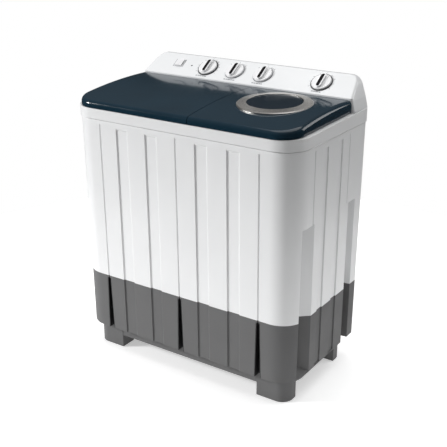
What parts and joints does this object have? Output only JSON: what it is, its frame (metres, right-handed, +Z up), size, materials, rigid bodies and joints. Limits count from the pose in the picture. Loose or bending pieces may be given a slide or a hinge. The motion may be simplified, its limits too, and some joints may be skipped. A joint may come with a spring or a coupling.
{
  "type": "washing machine",
  "caption": "Twin tub washing machine: white fluted cabinet on a grey base, two navy lids over a wash tub and a spin tub, and a sloping control panel with rotary knobs along the back.",
  "frame": {"origin": "centre of the footprint on the floor", "axes": "+Z up, the front faces -Y, +X to the right as seen from the front"},
  "size_m": [0.786, 0.443, 0.915],
  "materials": {
    "cabinet": "moulded white plastic, satin gloss",
    "base": "moulded mid-grey plastic",
    "dark_slots": "black moulded insert",
    "lid_navy": "glossy translucent navy",
    "ring_silver": "circular-brushed warm silver",
    "panel_white": "gloss white moulding",
    "knob_white": "gloss white with a printed pointer stripe",
    "bezel_dark": "printed ring",
    "tub_white": "polypropylene tub",
    "pulsator_blue": "pale blue polypropylene",
    "steel": "zinc plated steel",
    "aluminium": "die cast",
    "rubber": "black rubber",
    "motor": "black enamel",
    "grey_plastic": "grey polypropylene"
  },
  "bodies": {
    "machine": {"cabinet_shell": "cabinet", "base_shell": "base", "base_slot_liners": "dark_slots", "base_floor": "base", "front_plinth_rail": "base", "foot_front_left": "base", "foot_front_right": "base", "foot_rear_left": "base", "foot_rear_right": "base", "foot_pads": "rubber", "top_frame": "cabinet", "lid_hinge_pins": "steel", "panel_housing": "panel_white", "panel_rear_cover": "grey_plastic", "water_inlet_port": "grey_plastic", "knob_bezels": "bezel_dark", "clockwork_timers": "steel", "selector_switches": "grey_plastic", "wash_tub": "tub_white", "lint_filter": "pulsator_blue", "overflow_cover": "tub_white", "pulsator_bearing_housing": "aluminium", "drive_belt": "rubber", "wash_motor": "motor", "wash_motor_bracket": "steel", "spin_tub": "tub_white", "spin_bellows": "rubber", "spin_bearing": "steel", "spin_motor": "motor", "spin_motor_plate": "steel", "spin_motor_mounts": "rubber", "drain_valve_body": "grey_plastic", "drain_pipe": "grey_plastic", "drain_outlet": "grey_plastic", "back_cover": "grey_plastic", "back_cover_screws": "steel", "run_capacitors": "grey_plastic", "cable_gland": "rubber"},
    "wash_lid_body": {"wash_lid": "lid_navy"},
    "spin_lid_body": {"spin_lid": "lid_navy", "spin_lid_ring": "ring_silver", "spin_lid_disc": "lid_navy"},
    "wash_timer": {"wash_timer_knob": "knob_white"},
    "wash_selector": {"wash_selector_knob": "knob_white"},
    "drain_selector": {"drain_selector_knob": "knob_white"},
    "spin_timer": {"spin_timer_knob": "knob_white"},
    "inlet_selector": {"inlet_selector_tab": "knob_white"},
    "wash_rotor": {"pulsator": "pulsator_blue", "pulsator_cap": "tub_white", "pulsator_shaft": "steel", "pulsator_pulley": "aluminium"},
    "motor_rotor": {"motor_pulley": "aluminium"},
    "spin_rotor": {"spin_basket": "pulsator_blue", "basket_balance_ring": "tub_white", "spin_inner_cover": "tub_white", "spin_shaft": "steel", "brake_wheel": "aluminium"},
    "brake": {"brake_lever": "steel"},
    "drain_plunger": {"drain_valve_plunger": "rubber"}
  },
  "joints": [
    {"name": "wash_lid_hinge", "type": "hinge", "parent": "machine", "child": "wash_lid_body", "pos_m": [-0.168, 0.1135, 0.8525], "axis": [-1, 0, 0], "range_deg": [0, 94]},
    {"name": "spin_lid_hinge", "type": "hinge", "parent": "machine", "child": "spin_lid_body", "pos_m": [0.213, 0.1135, 0.8525], "axis": [-1, 0, 0], "range_deg": [0, 94]},
    {"name": "wash_timer_turn", "type": "hinge", "parent": "machine", "child": "wash_timer", "pos_m": [-0.148, 0.16629, 0.88934], "axis": [0, -0.5592, 0.829], "range_deg": [-300, 0]},
    {"name": "wash_selector_turn", "type": "hinge", "parent": "machine", "child": "wash_selector", "pos_m": [-0.046, 0.16629, 0.88934], "axis": [0, -0.5592, 0.829], "range_deg": [-45, 45]},
    {"name": "drain_selector_turn", "type": "hinge", "parent": "machine", "child": "drain_selector", "pos_m": [0.057, 0.16629, 0.88934], "axis": [0, -0.5592, 0.829], "range_deg": [-90, 0]},
    {"name": "spin_timer_turn", "type": "hinge", "parent": "machine", "child": "spin_timer", "pos_m": [0.2595, 0.16629, 0.88934], "axis": [0, -0.5592, 0.829], "range_deg": [-300, 0]},
    {"name": "inlet_selector_slide", "type": "slide", "parent": "machine", "child": "inlet_selector", "axis": [1, 0, 0], "range_m": [-0.005, 0.005]},
    {"name": "pulsator_spin", "type": "hinge", "parent": "machine", "child": "wash_rotor", "pos_m": [-0.169, -0.044, 0.31], "axis": [0, 0, 1], "continuous": true},
    {"name": "motor_spin", "type": "hinge", "parent": "machine", "child": "motor_rotor", "pos_m": [-0.3, 0.07, 0.25], "axis": [0, 0, 1], "continuous": true},
    {"name": "basket_spin", "type": "hinge", "parent": "machine", "child": "spin_rotor", "pos_m": [0.216, -0.044, 0.51], "axis": [0, 0, 1], "continuous": true},
    {"name": "brake_lever_pivot", "type": "hinge", "parent": "machine", "child": "brake", "pos_m": [0.286, -0.006, 0.258], "axis": [0, 0, 1], "range_deg": [-2.8, 0]},
    {"name": "drain_plunger_lift", "type": "slide", "parent": "machine", "child": "drain_plunger", "axis": [0, 0, 1], "range_m": [0, 0.01]}
  ],
  "couplings": [
    {"joint": "motor_spin", "follows": "pulsator_spin", "ratio": 3.4},
    {"joint": "brake_lever_pivot", "follows": "spin_lid_hinge", "ratio": -0.0297},
    {"joint": "drain_plunger_lift", "follows": "drain_selector_turn", "m_per_rad": -0.006366}
  ]
}
